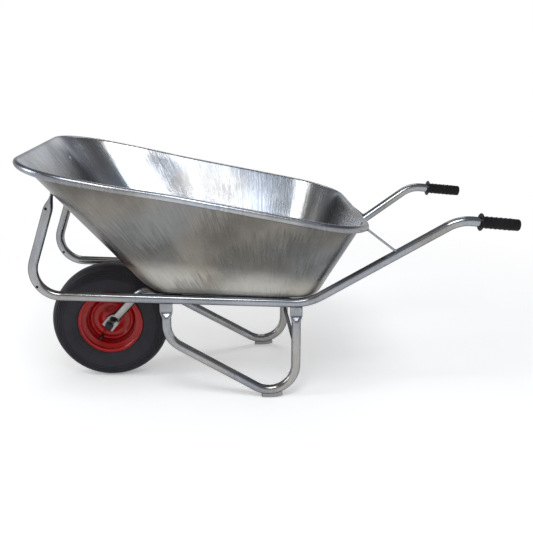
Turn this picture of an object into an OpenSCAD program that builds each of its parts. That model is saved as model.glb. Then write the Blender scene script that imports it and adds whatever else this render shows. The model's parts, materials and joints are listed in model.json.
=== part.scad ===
// Galvanised contractor's wheelbarrow: deep pressed pan, bent-tube frame,
// single pneumatic wheel on ball bearings.
// Millimetres, +Z up, ground at z = 0, nose towards -X, handles towards +X.
// The origin is on the ground below the middle of the overall length.
// Left is the -Y side: the left hand of a person who stands between the handles.

/* [Wheel] */
// Outside diameter of the tyre
tyre_d = 400; // [380:1:408]
// Width of the tyre across its sidewalls
tyre_w = 100; // [92:1:108]
// Thickness of the tread
tread_t = 10; // [8:0.5:13]
// Thickness of the sidewall
sidewall_t = 5; // [4:0.5:7]
// Diameter over the rim's flanges
flange_d = 220; // [214:1:226]
// Diameter of the rim's bead seats
bead_d = 203; // [200:0.5:205]
// Diameter of the rim's well
well_d = 176; // [168:1:182]
// Width between the rim's flanges
rim_w = 77; // [72:1:82]
// Width of the flat floor of the rim's well
well_w = 44; // [40:1:46]
// Sheet thickness of the rim and disc
rim_t = 2.5; // [2:0.1:3]
// Height of the pressed ring in the disc
disc_ring_h = 8; // [4:0.5:9]
// Height of the disc's domed middle
disc_dome_h = 14; // [6:0.5:18]
// Diameter of the valve stem
valve_d = 8; // [7:0.1:9]

/* [Hub and axle] */
// Length of the hub tube
hub_l = 100; // [90:1:110]
// Wall thickness of the hub tube
hub_wall = 3; // [2.5:0.1:4]
// Diameter of the axle
axle_d = 16; // [15:0.1:17]
// Length of each distance sleeve between hub and fork
sleeve_l = 10; // [8:0.5:16]
// Outside diameter of each bearing
bearing_d = 36; // [35:0.5:38]
// Width of each bearing
bearing_w = 11; // [10:0.5:13]
// Diameter of a bearing ball
ball_d = 6; // [5.5:0.1:6.4]
// Number of balls in a bearing
ball_count = 8; // [7:1:9]
// Size of the axle nut across its flats
axle_nut_af = 24; // [22:0.5:27]
// Diameter of the axle washer
axle_washer_d = 30; // [27:0.5:34]

/* [Frame tubes] */
// Outside diameter of the side tubes
tube_d = 30; // [28:0.5:32]
// Outside diameter of the leg and fork tubes
leg_tube_d = 30; // [28:0.5:32]
// Wall thickness of every tube
tube_wall = 2; // [1.5:0.1:2.5]
// Distance between the centre lines of the rails
rail_span = 396; // [380:1:410]
// Distance between the centre lines of the grips
grip_span = 560; // [530:1:600]
// Height of the rails' centre lines over the axle, at the axle
rail_rise = 148; // [142:1:156]
// Slope of the rails, down towards the handles
rail_slope = 2.8; // [2:0.1:3.5]
// Distance from the axle forward to the hoop's corner
hoop_reach = 234; // [222:1:250]
// Lean of the hoop back from upright
hoop_lean = 18.5; // [16:0.5:20]
// Radius of the hoop's bend
hoop_bend = 85; // [75:1:95]
// Distance from the axle back to the corner where the handle rises
handle_x = 657; // [640:1:680]
// Radius of the bend where the handle rises
handle_bend = 150; // [130:1:160]
// Distance from the axle back to the corner before the grip
grip_corner_x = 1102; // [1080:1:1130]
// Rise of the handle between its two corners
handle_rise = 288; // [270:1:310]
// Radius of the bend before the grip
grip_bend = 110; // [90:1:130]
// Length from the last corner to the tube's end
grip_reach = 182; // [175:1:200]
// Droop of the grips below level
grip_droop = 5.5; // [3:0.5:8]
// Diameter of the galvanising drain holes
drain_d = 9; // [7:0.5:11]

/* [Legs and braces] */
// Distance from the axle back to the front of the leg loop
leg_front_x = 204; // [190:1:225]
// Distance from the axle back to the rear leg
leg_rear_x = 620; // [600:1:630]
// Height of the loop's front corner over the ground
leg_corner_z = 205; // [190:1:220]
// Radius of the loop's front bend
leg_front_bend = 80; // [65:1:88]
// Radius of the bend at the foot
foot_bend = 86; // [75:1:95]
// Outward splay of the leg loops
leg_splay = 3.5; // [1:0.5:5]
// Height of the leg tube over the ground at the foot
sole_h = 9; // [7:0.5:11]
// Arc of the foot shoe along the bend
shoe_arc = 36; // [30:1:42]
// Width of the foot shoe across the tube
shoe_w = 18; // [14:1:24]
// Width of the cross brace between the rear legs
brace_w = 30; // [20:1:36]
// Thickness of the cross brace
brace_t = 5; // [4:0.5:8]
// Height of the cross brace over the ground
brace_z = 160; // [150:1:185]
// Width of the two bars under the pan
bar_w = 40; // [34:1:44]
// Thickness of the two bars under the pan
bar_t = 6; // [5:0.5:7]
// Diameter of the rods from the pan's rim to the handles
stay_d = 7; // [6:0.5:9]
// Distance from the axle back to the rod's foot on the handle
stay_foot_x = 930; // [905:1:950]
// Width of a flattened tube end
flat_w = 42; // [40:0.5:44]

/* [Pan] */
// Sheet thickness of the pan
pan_t = 1.5; // [1.2:0.1:2.4]
// Radius of the rolled rim
roll_r = 11; // [9:0.5:12]
// Distance from the axle forward to the rolled rim's centre
rim_front = 203; // [195:1:210]
// Distance from the axle back to the rolled rim's centre
rim_rear = 826; // [800:1:840]
// Half width of the rim at the pouring end
rim_half_front = 410; // [395:1:420]
// Half width of the rim behind the pouring end
rim_half_rear = 379; // [365:1:392]
// Height of the rolled rim's centre over the rails' line, at the axle
rim_rise = 400; // [380:1:410]
// Slope of the rim, down towards the handles
rim_slope = 11.4; // [10.5:0.1:12]
// Corner radius of the rim
rim_corner = 165; // [130:1:175]
// Distance from the axle back to the floor's front edge
floor_front = 150; // [145:1:165]
// Distance from the axle back to the floor's rear edge
floor_rear = 693; // [670:1:700]
// Half width of the floor
floor_half = 201; // [194:1:204]
// Corner radius of the floor
floor_corner = 84; // [80:1:92]
// Tangent length of the rounding between floor and walls
floor_round = 55; // [45:1:60]

/* [Grips] */
// Length of a grip
grip_l = 118; // [105:1:130]
// Diameter of a grip
grip_d = 36; // [35:0.5:40]
// Diameter of the grip's flange
grip_flange_d = 54; // [48:1:58]
// Thickness of the grip's closed end
grip_end_t = 5; // [3:0.5:7]
// Number of finger ridges on a grip
grip_ridges = 6; // [4:1:7]

/* [Fasteners] */
// Diameter of the pan and hoop bolts
bolt_d = 8; // [7:0.5:9]
// Size of their nuts across flats
nut_af = 13; // [12:0.5:15]
// Diameter of their washers
washer_d = 17; // [16:0.5:19]
// Distance of the floor bolts from the middle
bolt_y = 130; // [122:1:134]

/* [Hidden] */

// Facets of round solids, of small round solids, and of the flattened tube ends
$fn = 72;
fine = 32;
loft_sides = 24;

// Gap at a welded, pressed or bolted seat
seat = 0.05;
// Gap where two turning parts pass
run = 0.3;
// Radial clearance of a bolt in its hole
bolt_clear = 0.3;

// Where things lie, measured from the axle along X
axle_z = tyre_d / 2;
rail_y = rail_span / 2;
grip_y = grip_span / 2;
tube_r = tube_d / 2;
leg_r = leg_tube_d / 2;
flat_t = 2 * tube_wall + 1;
hoop_z = rail_z(-hoop_reach);
roll_in = roll_r - pan_t;
wall_lean = 30;
nose_x = -rim_front - roll_r;
tail_x = grip_corner_x + (grip_reach + grip_end_t) * cos(grip_droop);
origin_x = (nose_x + tail_x) / 2;

galvanised = "silver";
dark_steel = "dimgray";

// ---------- small helpers ----------

function rail_z(x) = axle_z + rail_rise - x * tan(rail_slope);
function mix(a, b, u) = a + (b - a) * u;
function unit(v) = v / norm(v);
function smooth(u) = let(c = min(1, max(0, u))) c * c * (3 - 2 * c);
function mirror_y(p) = [p.x, -p.y];
function reversed(list) = [for (k = [len(list) - 1 : -1 : 0]) list[k]];
function bell(r, middle, half) = abs(r - middle) < half ? (1 + cos(180 * (r - middle) / half)) / 2 : 0;

// Turns the frame of the axle into the frame of the part
module place() { translate([-origin_x, 0, 0]) children(); }

// Draws its children on the left, or mirrored on the right
module side(left) { place() mirror([0, left ? 0 : 1, 0]) children(); }

// Both sides at once
module both_sides() { place() for (m = [0, 1]) mirror([0, m, 0]) children(); }

// Puts local Z along the axle, pointing left, with the axle's middle at the origin
module on_axle() { place() translate([0, 0, axle_z]) rotate([90, 0, 0]) children(); }

// Puts local Z along dir at point p, with local X as near to side_dir as it can be
module along(p, dir, side_dir = [0, 1, 0]) {
    z = unit(dir);
    y = unit(cross(z, side_dir));
    x = cross(y, z);
    multmatrix([
        [x.x, y.x, z.x, p.x],
        [x.y, y.y, z.y, p.y],
        [x.z, y.z, z.z, p.z],
        [0, 0, 0, 1]
    ]) children();
}

module ring_2d(r_out, r_in) {
    difference() {
        circle(r_out);
        circle(r_in);
    }
}

// A ring with its axis on Z: a washer, sleeve or bearing ring blank
module tube_z(r_out, r_in, h) {
    linear_extrude(h) ring_2d(r_out, r_in);
}

// ---------- bent tubes ----------

function turn_angle(a, b) = acos(min(1, max(-1, unit(a) * unit(b))));
function tangent_len(path, bends, i) =
    (i == 0 || i == len(path) - 1) ? 0 :
    bends[i] * tan(turn_angle(path[i] - path[i - 1], path[i + 1] - path[i]) / 2);

// The centre of the bend at corner i of a path
function bend_centre(path, bends, i) =
    let(a = unit(path[i] - path[i - 1]), b = unit(path[i + 1] - path[i]))
    path[i] + unit(b - a) * bends[i] / cos(turn_angle(a, b) / 2);

// Local frame of a bend: X to its first tangent point, Y along the run, Z its axis
module in_bend(path, bends, i) {
    a = unit(path[i] - path[i - 1]);
    centre = bend_centre(path, bends, i);
    x = unit(path[i] - a * tangent_len(path, bends, i) - centre);
    z = cross(x, a);
    multmatrix([
        [x.x, a.x, z.x, centre.x],
        [x.y, a.y, z.y, centre.y],
        [x.z, a.z, z.z, centre.z],
        [0, 0, 0, 1]
    ]) children();
}

// A bend's wall is this much thinner on both faces than the straights', which lap over its ends
bend_step = 0.1;
bend_lap = 0.5;

// A hollow tube through the path's points, bent round each corner
module bent_tube(path, bends, r) {
    last = len(path) - 2;
    for (i = [0 : last]) {
        dir = unit(path[i + 1] - path[i]);
        from = path[i] + dir * (tangent_len(path, bends, i) - (i > 0 ? bend_lap : 0));
        to = path[i + 1] - dir * (tangent_len(path, bends, i + 1) - (i < last ? bend_lap : 0));
        along(from, dir) tube_z(r, r - tube_wall, norm(to - from));
    }
    for (i = [1 : last])
        in_bend(path, bends, i)
            rotate_extrude(angle = turn_angle(path[i] - path[i - 1], path[i + 1] - path[i]))
                translate([bends[i], 0]) ring_2d(r - bend_step, r - tube_wall + bend_step);
}

// One cross-section of a tube end that is pressed flat: u = 0 is round, u = 1 is flat.
// Its thickness is along local Y and its width along local X.
function pressed_ring(r, u, z) =
    let(
        w = mix(r, flat_w / 2 - 2 * bend_step, smooth(u)),
        t = mix(r, flat_t / 2 - 2 * bend_step, smooth(u)),
        p = mix(1, 0.4, smooth(u))
    )
    [for (k = [0 : loft_sides - 1])
        let(a = 360 * (k + 0.5) / loft_sides, c = cos(a), s = sin(a))
        [w * sign(c) * pow(abs(c), p), t * sign(s) * pow(abs(s), p), z]];

// A solid loft from a round tube (at z = 0) to its pressed flat end (at z = len), then on to z = total
module pressed_end(r, length, total) {
    steps = 6;
    rings = [
        pressed_ring(r - 1.3, 0, -2),
        for (k = [0 : steps]) pressed_ring(r - 0.3, k / steps, length * k / steps),
        pressed_ring(r, 1, total)
    ];
    loft(rings);
}

// A pressed end's flat part, straight along local Z
module flat_bar(length) {
    translate([-flat_w / 2, -flat_t / 2, 0]) cube([flat_w, flat_t, length]);
}

// A pressed end's flat part, bent at the middle point of a path of three
module flat_bend(path, radius) {
    t = flat_t - 2 * bend_step;
    w = flat_w - 2 * bend_step;
    in_bend(path, [0, radius, 0], 1)
        rotate_extrude(angle = turn_angle(path[1] - path[0], path[2] - path[1]))
            translate([radius - t / 2, -w / 2]) square([t, w]);
}

// Closed skin over a stack of rings with equal numbers of points
module loft(rings) {
    n = len(rings[0]);
    m = len(rings);
    points = [for (ring = rings) for (p = ring) p];
    walls = [
        for (j = [0 : m - 2]) for (k = [0 : n - 1])
            let(a = j * n + k, b = j * n + (k + 1) % n)
            for (f = [[a, b + n, b], [a, a + n, b + n]]) f
    ];
    caps = [[for (k = [0 : n - 1]) k], [for (k = [n - 1 : -1 : 0]) (m - 1) * n + k]];
    polyhedron(points, concat(walls, caps), convexity = 6);
}

// ---------- the pan's form ----------

// Heights of the floor plane (its outer face) and of the plane of the roll's centre
floor_drop = 8;
function floor_z(x) = rail_z(x) + tube_r / cos(rail_slope) - floor_drop;
function rim_z(x) = axle_z + rail_rise + rim_rise - x * tan(rim_slope);

corner_steps = 9;
side_steps = 16;
ease_start = 0.1;
ease_run = 0.35;

// A closed outline with round corners: front and rear edge, front and rear half width.
// The front is wider, and its width eases into the rear's in a soft S.
function outline(xf, xr, hf, hr, rc) =
    let(
        x0 = xf + rc,
        x1 = xr - rc,
        left = concat(
            [for (k = [0 : corner_steps])
                let(a = 90 * k / corner_steps) [x0 - rc * cos(a), -(hf - rc + rc * sin(a))]],
            [for (k = [1 : side_steps - 1])
                let(t = k / side_steps) [mix(x0, x1, t), -mix(hf, hr, smooth((t - ease_start) / ease_run))]],
            [for (k = [0 : corner_steps])
                let(a = 90 * k / corner_steps) [x1 + rc * sin(a), -(hr - rc + rc * cos(a))]]
        )
    )
    concat(left, [for (p = reversed(left)) mirror_y(p)]);

// The floor's and the rim's outlines, moved inwards by inset and up by lift
function floor_ring(inset, lift) =
    let(half = floor_half - inset)
    [for (p = outline(floor_front + inset, floor_rear - inset, half, half, floor_corner - inset))
        [p.x, p.y, floor_z(p.x) + lift]];
function rim_ring(inset, lift) =
    [for (p = outline(
        inset - rim_front, rim_rear - inset, rim_half_front - inset, rim_half_rear - inset, rim_corner - inset
    )) [p.x, p.y, rim_z(p.x) + lift]];

// A ring between two others, point by point
function ring_between(a, b, u) = [for (i = [0 : len(a) - 1]) mix(a[i], b[i], u)];

// Where the roll's sheet starts and ends round its centre
roll_start = 180 - wall_lean;
roll_end = -125;
roll_steps = 10;
function roll_rings(r) = [
    for (k = [0 : roll_steps])
        let(a = mix(roll_start, roll_end, k / roll_steps))
        rim_ring(-r * cos(a), r * sin(a))
];

// A wall between floor and roll on one face of the sheet, with the rounding at its foot.
// r is the roll's radius on that face, and inset and lift are how far the face lies inside.
round_steps = 5;
wall_run = 1.2 * rim_rise;
function face_rings(r, inset, lift) =
    let(
        a = floor_ring(inset + floor_round, lift),
        b = floor_ring(inset, lift),
        top = rim_ring(r * cos(wall_lean), r * sin(wall_lean)),
        c = ring_between(b, top, floor_round / wall_run)
    )
    concat(
        [for (k = [0 : round_steps])
            let(t = k / round_steps)
            ring_between(ring_between(a, b, t), ring_between(b, c, t), t)],
        [for (u = [0.4, 0.7]) ring_between(b, top, u)]
    );

// Straight lines up the middle of the front wall's outer face
front_foot = [floor_front, floor_z(floor_front)];
front_top_x = -rim_front + roll_in * cos(wall_lean);
front_top = [front_top_x, rim_z(front_top_x) + roll_in * sin(wall_lean)];
front_up = unit(front_top - front_foot);
front_out = [-front_up.y, front_up.x];

// A point on the front wall's outer face, s up from its foot and out from the face
function on_front(s, out, y) =
    let(p = front_foot + front_up * s + front_out * out) [p.x, y, p.y];

// ---------- left-hand routes ----------

// The hoop meets the front wall where its centre line crosses the pressed end's middle plane
hoop_dir = [sin(hoop_lean), cos(hoop_lean)];
hoop_foot = [-hoop_reach, hoop_z];
plane_point = front_foot + front_out * (flat_t / 2 + seat);
hoop_len = ((plane_point - hoop_foot) * front_out) / (hoop_dir * front_out);
hoop_top = hoop_foot + hoop_dir * hoop_len;
tab_bend = 22;
tab_turn = acos(hoop_dir * front_up);
tab_tangent = tab_bend * tan(tab_turn / 2);
tab_l = 52;
press_l = 48;
flat_run = 6;
hoop_round_len = hoop_len - tab_tangent - flat_run - press_l;
hoop_round_top = hoop_foot + hoop_dir * hoop_round_len;
drain_top = [-3, 5];
drain_foot = [43, 30];
hoop_bolt_s = (hoop_top - front_foot) * front_up + tab_tangent + tab_l - 20;

function upright(p) = [p.x, -rail_y, p.y];

handle_foot = [handle_x, -rail_y, rail_z(handle_x)];
grip_corner = [grip_corner_x, -grip_y, rail_z(handle_x) + handle_rise];
grip_dir = [cos(grip_droop), 0, -sin(grip_droop)];
tube_tip = grip_corner + grip_dir * grip_reach;

side_path = [upright(hoop_round_top), upright(hoop_foot), handle_foot, grip_corner, tube_tip];
side_bends = [0, hoop_bend, handle_bend, grip_bend, 0];

// Leg loop: it lies in one plane that leans outwards from the rail
leg_top_z = rail_z((leg_front_x + leg_rear_x) / 2);
function leg_point(x, z) = [x, -(rail_y + (leg_top_z - z) * tan(leg_splay)), z];
foot_centre = [leg_rear_x - foot_bend, foot_bend + leg_r + sole_h];
to_foot = foot_centre - [leg_front_x, leg_corner_z];
leg_fall = -atan2(to_foot.y, to_foot.x) + asin(foot_bend / norm(to_foot));
leg_foot_z = leg_corner_z - (leg_rear_x - leg_front_x) * tan(leg_fall);
leg_flat_h = 24;
leg_press_l = 27;
function leg_end(x) = rail_z(x) - tube_r - leg_flat_h - leg_press_l;
leg_path = [
    leg_point(leg_front_x, leg_end(leg_front_x)),
    leg_point(leg_front_x, leg_corner_z),
    leg_point(leg_rear_x, leg_foot_z),
    leg_point(leg_rear_x, leg_end(leg_rear_x))
];
leg_bends = [0, leg_front_bend, foot_bend, 0];
leg_up = unit(leg_path[3] - leg_path[2]);

// Fork stay: pressed flat on the axle, up and outwards, pressed flat under the pan
fork_in = hub_l / 2 + sleeve_l + seat;
fork_y = -(fork_in + flat_t / 2);
fork_plate_l = 19;
fork_plate_tail = 13;
bar_front_x = 235;
bar_rear_x = 578;
bars_x = [bar_front_x, bar_rear_x];
bar_drop = bar_t + seat;
function tab_z(x) = floor_z(x) - (bar_drop + flat_t / 2 + seat) / cos(rail_slope);
fork_corner_x = 116;
fork_corner = [fork_corner_x, -bolt_y, tab_z(fork_corner_x)];
fork_rise = atan2(fork_corner.z - axle_z, fork_corner.x);
fork_dir = [cos(fork_rise), 0, sin(fork_rise)];
fork_foot = [0, fork_y, axle_z] + fork_dir * fork_plate_l;
fork_up = unit(fork_corner - fork_foot);
fork_back = [cos(rail_slope), 0, -sin(rail_slope)];
fork_press = 34;
fork_flat_run = 2;
fork_bend = 45;
fork_plate_bend = 16;
fork_plate_tangent = fork_plate_bend * tan(turn_angle(fork_dir, fork_up) / 2);
fork_path = [
    fork_foot + fork_up * (fork_plate_tangent + fork_flat_run + fork_press),
    fork_corner,
    fork_corner + fork_back * (fork_bend * tan(turn_angle(fork_up, fork_back) / 2) + bend_lap)
];
fork_bends = [0, fork_bend, 0];

// Rod from the rolled rim to the handle
stay_angle = 22;
rim_corner_c = [rim_rear - rim_corner, -(rim_half_rear - rim_corner)];
stay_top_x = rim_corner_c.x + rim_corner * cos(stay_angle);
stay_top = [stay_top_x, rim_corner_c.y - rim_corner * sin(stay_angle), rim_z(stay_top_x)];
stay_share = (stay_foot_x - handle_x) / (grip_corner_x - handle_x);
stay_foot = handle_foot + (grip_corner - handle_foot) * stay_share;

// ---------- frame ----------

module left_side_tube_shape() {
    bolt_at = on_front(hoop_bolt_s, 0, -rail_y);
    bolt_dir = [front_out.x, 0, front_out.y];
    hoop_up = [hoop_dir.x, 0, hoop_dir.y];
    bend_start = hoop_top - hoop_dir * tab_tangent;
    difference() {
        union() {
            bent_tube(side_path, side_bends, tube_r);
            along(upright(hoop_round_top), hoop_up)
                pressed_end(tube_r, press_l, press_l + flat_run + bend_lap);
            flat_bend([upright(bend_start), upright(hoop_top), upright(hoop_top + front_up)], tab_bend);
            along(upright(hoop_top + front_up * (tab_tangent - bend_lap)), [front_up.x, 0, front_up.y])
                flat_bar(tab_l);
        }
        along(bolt_at - bolt_dir * 5, bolt_dir) cylinder(r = bolt_d / 2 + bolt_clear, h = 30);
        for (p = [hoop_round_top + drain_top, hoop_foot + drain_foot])
            translate([p.x, -rail_y, p.y]) rotate([90, 0, 0])
                cylinder(d = drain_d, h = tube_d + 10, center = true, $fn = fine);
    }
}

module left_side_tube() { color(galvanised) side(true) left_side_tube_shape(); }
module right_side_tube() { color(galvanised) side(false) left_side_tube_shape(); }

module left_leg_shape() {
    difference() {
        union() {
            bent_tube(leg_path, leg_bends, leg_r);
            for (x = [leg_front_x, leg_rear_x])
                along(leg_point(x, leg_end(x)), leg_up, [1, 0, 0])
                    pressed_end(leg_r, leg_press_l, leg_press_l + leg_flat_h + tube_r);
        }
        along(upright(hoop_foot), handle_foot - upright(hoop_foot))
            cylinder(r = tube_r + seat, h = norm(handle_foot - upright(hoop_foot)) + 20);
    }
}

module left_leg() { color(galvanised) side(true) left_leg_shape(); }
module right_leg() { color(galvanised) side(false) left_leg_shape(); }

// Strip welded on the outside of the foot's bend, worn flat where it stands
shoe_turn = 5;
shoe_edge = 2;
module left_shoe_shape() {
    low = leg_r + sole_h;
    half = shoe_w / 2;
    difference() {
        in_bend(leg_path, leg_bends, 2)
            rotate([0, 0, leg_fall + shoe_turn - shoe_arc / 2])
                rotate_extrude(angle = shoe_arc)
                    translate([foot_bend, 0])
                        difference() {
                            polygon([
                                [leg_r / 2, -half], [low, -half], [low + shoe_edge, shoe_edge - half],
                                [low + shoe_edge, half - shoe_edge], [low, half], [leg_r / 2, half]
                            ]);
                            circle(leg_r + seat);
                        }
        translate([foot_centre.x - 200, -rail_y - 200, -100]) cube([400, 400, 100]);
    }
}

module left_foot_shoe() { color(galvanised) side(true) left_shoe_shape(); }
module right_foot_shoe() { color(galvanised) side(false) left_shoe_shape(); }

// Flat bar on edge between the rear legs
module leg_cross_brace() {
    reach = -leg_point(leg_rear_x, brace_z).y;
    color(galvanised) place()
        difference() {
            translate([leg_rear_x - brace_t / 2, -reach, brace_z - brace_w / 2])
                cube([brace_t, 2 * reach, brace_w]);
            for (m = [0, 1]) mirror([0, m, 0])
                along(leg_point(leg_rear_x, 0), leg_up) cylinder(r = leg_r + seat, h = 400);
        }
}

// Puts local Z square to the pan's floor, at the floor's outer face
module on_floor(x, y) {
    translate([x, y, floor_z(x)]) rotate([0, rail_slope, 0]) children();
}

// Flat bar between the rails that carries the pan's floor
module pan_bar(x) {
    color(galvanised) place()
        difference() {
            on_floor(x, 0) translate([-bar_w / 2, -rail_y, -bar_t - seat]) cube([bar_w, 2 * rail_y, bar_t]);
            for (m = [0, 1]) mirror([0, m, 0])
                along(upright(hoop_foot), handle_foot - upright(hoop_foot))
                    cylinder(r = tube_r + seat, h = norm(handle_foot - upright(hoop_foot)));
            for (y = [-bolt_y, bolt_y]) on_floor(x, y)
                translate([0, 0, -bar_t - 5]) cylinder(r = bolt_d / 2 + bolt_clear, h = bar_t + 10);
        }
}

module front_pan_bar() { pan_bar(bar_front_x); }
module rear_pan_bar() { pan_bar(bar_rear_x); }

module left_fork_shape() {
    tab_end = bar_front_x + bar_w / 2;
    tab_start = fork_path[2] + fork_back * (fork_press + fork_flat_run - bend_lap);
    plate_end = fork_foot - fork_dir * fork_plate_tangent;
    difference() {
        union() {
            translate([0, fork_y - flat_t / 2, axle_z]) rotate([0, -fork_rise, 0])
                translate([-fork_plate_tail, 0, -flat_w / 2])
                    cube([fork_plate_l + fork_plate_tail - fork_plate_tangent + bend_lap, flat_t, flat_w]);
            flat_bend([plate_end, fork_foot, fork_foot + fork_up], fork_plate_bend);
            along(fork_path[0], -fork_up, [-sin(fork_rise), 0, cos(fork_rise)])
                pressed_end(leg_r, fork_press, fork_press + fork_flat_run + bend_lap);
            bent_tube(fork_path, fork_bends, leg_r);
            along(fork_path[2], fork_back) pressed_end(leg_r, fork_press, fork_press + fork_flat_run);
            along(tab_start, fork_back) flat_bar(tab_end - tab_start.x);
        }
        translate([0, 0, axle_z]) rotate([90, 0, 0]) cylinder(r = axle_d / 2 + bolt_clear, h = 200);
        on_floor(bar_front_x, -bolt_y) translate([0, 0, -30]) cylinder(r = bolt_d / 2 + bolt_clear, h = 40);
    }
}

module left_fork_stay() { color(galvanised) side(true) left_fork_shape(); }
module right_fork_stay() { color(galvanised) side(false) left_fork_shape(); }

module left_stay_shape() {
    difference() {
        along(stay_top, stay_foot - stay_top) cylinder(d = stay_d, h = norm(stay_foot - stay_top));
        along(handle_foot, grip_corner - handle_foot)
            cylinder(r = tube_r + seat, h = norm(grip_corner - handle_foot));
    }
}

module left_rim_stay() { color(galvanised) side(true) left_stay_shape(); }
module right_rim_stay() { color(galvanised) side(false) left_stay_shape(); }

// ---------- pan ----------

module pan() {
    inner = face_rings(roll_r, pan_t * tan(45 - wall_lean / 2), pan_t);
    outer = face_rings(roll_in, 0, 0);
    bolt_dir = [front_out.x, 0, front_out.y];
    color("lightslategray") place()
        difference() {
            loft(concat(outer, roll_rings(roll_in), reversed(roll_rings(roll_r)), reversed(inner)));
            for (x = bars_x) for (y = [-bolt_y, bolt_y])
                on_floor(x, y) translate([0, 0, -5]) cylinder(r = bolt_d / 2 + bolt_clear, h = 12);
            for (m = [0, 1]) mirror([0, m, 0]) {
                along(on_front(hoop_bolt_s, 6, -rail_y), -bolt_dir)
                    cylinder(r = bolt_d / 2 + bolt_clear, h = 14);
                along(stay_top, stay_foot - stay_top) cylinder(r = stay_d / 2 + seat, h = 20);
            }
        }
}

// ---------- grips ----------

module left_grip_shape() {
    r = grip_d / 2;
    flange_r = grip_flange_d / 2;
    bore = tube_r + seat;
    full_l = grip_l + grip_end_t;
    ridge_gap = (grip_l - 30) / grip_ridges;
    along(grip_corner + grip_dir * (grip_reach - grip_l), grip_dir)
        rotate_extrude()
            polygon([
                [bore, 0], [flange_r - 1, 0], [flange_r, 1], [flange_r, 3], [flange_r - 1, 4],
                [r + 3, 4], [r + 1, 6], [r, 9],
                for (k = [0 : grip_ridges - 1])
                    for (q = [[0, 0], [0.8, 0.8], [1.2, 2], [0.8, 3.2], [0, 4]])
                        [r + q.x, 18 + k * ridge_gap + q.y],
                [r, full_l - 4], [r - 1.2, full_l - 1.2], [r - 4, full_l],
                [0, full_l], [0, grip_l + seat], [bore, grip_l + seat]
            ]);
}

module left_grip() { color("black") side(true) left_grip_shape(); }
module right_grip() { color("black") side(false) left_grip_shape(); }

// ---------- axle and hub ----------

fork_out = fork_in + flat_t + seat;
washer_t = 3;
nut_t = 13;
axle_half = fork_out + washer_t + nut_t + 3;
bearing_r = bearing_d / 2;
pitch_r = (axle_d / 2 + bearing_r) / 2;
groove_r = ball_d / 2 + run;
race_step = ball_d / 2 - 1;

module axle() {
    color(dark_steel) on_axle() {
        cylinder(d = axle_d, h = 2 * (axle_half - 1.5), center = true);
        for (s = [0, 1]) mirror([0, 0, s])
            translate([0, 0, axle_half - 1.5]) cylinder(d1 = axle_d, d2 = axle_d - 3, h = 1.5);
    }
}

module axle_nuts() {
    color(dark_steel) on_axle()
        for (s = [0, 1]) mirror([0, 0, s])
            translate([0, 0, fork_out + washer_t + seat])
                difference() {
                    intersection() {
                        cylinder(d = axle_nut_af / cos(30), h = nut_t, $fn = 6);
                        cylinder(d1 = axle_nut_af * 2, d2 = axle_nut_af * 1.02, h = nut_t);
                    }
                    translate([0, 0, -1]) cylinder(r = axle_d / 2 + seat, h = nut_t + 2);
                }
}

module axle_washers() {
    color(dark_steel) on_axle()
        for (s = [0, 1]) mirror([0, 0, s])
            translate([0, 0, fork_out]) tube_z(axle_washer_d / 2, axle_d / 2 + bolt_clear, washer_t);
}

// Sleeve on the axle between the two bearings' inner rings
module axle_sleeve() {
    half = hub_l / 2 - bearing_w - seat;
    color(dark_steel) on_axle() translate([0, 0, -half]) tube_z(axle_d / 2 + 3, axle_d / 2 + seat, 2 * half);
}

module distance_sleeve(s) {
    color(dark_steel) on_axle() mirror([0, 0, s])
        translate([0, 0, hub_l / 2 + seat / 2]) tube_z(axle_d / 2 + 3, axle_d / 2 + seat, sleeve_l);
}

module left_distance_sleeve() { distance_sleeve(0); }
module right_distance_sleeve() { distance_sleeve(1); }

module hub_tube() {
    color("firebrick") on_axle() translate([0, 0, -hub_l / 2])
        tube_z(bearing_r + hub_wall, bearing_r + seat, hub_l);
}

// A bearing's left face lies flush with the hub's end
module in_bearing(s) {
    on_axle() mirror([0, 0, s]) translate([0, 0, hub_l / 2 - bearing_w / 2]) children();
}

module race(r_out, r_in) {
    rotate_extrude()
        difference() {
            translate([r_in, -bearing_w / 2]) square([r_out - r_in, bearing_w]);
            translate([pitch_r, 0]) circle(groove_r);
        }
}

module outer_ring(s) { color("gainsboro") in_bearing(s) race(bearing_r, pitch_r + race_step); }
module inner_ring(s) { color("gainsboro") in_bearing(s) race(pitch_r - race_step, axle_d / 2 + seat); }
module left_bearing_outer_ring() { outer_ring(0); }
module right_bearing_outer_ring() { outer_ring(1); }
module left_bearing_inner_ring() { inner_ring(0); }
module right_bearing_inner_ring() { inner_ring(1); }

module ball_ring(r) {
    for (k = [0 : ball_count - 1])
        rotate([0, 0, 360 * k / ball_count]) translate([pitch_r, 0, 0]) sphere(r);
}

module balls(s) { color("whitesmoke") in_bearing(s) ball_ring(ball_d / 2); }
module left_bearing_balls() { balls(0); }
module right_bearing_balls() { balls(1); }

module cage(s) {
    color("goldenrod") in_bearing(s)
        difference() {
            translate([0, 0, -ball_d / 2 - 0.8])
                tube_z(pitch_r + race_step - 2 * run, pitch_r - race_step + 2 * run, ball_d + 1.6);
            for (k = [0 : ball_count - 1])
                rotate([0, 0, 360 * k / ball_count]) rotate([0, 90, 0])
                    cylinder(r = ball_d / 2 + seat, h = bearing_d, $fn = fine);
        }
}

module left_bearing_cage() { cage(0); }
module right_bearing_cage() { cage(1); }

// ---------- wheel ----------

bead_r = bead_d / 2;
flange_r = flange_d / 2;
well_r = well_d / 2;
rim_half = rim_w / 2;

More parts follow.
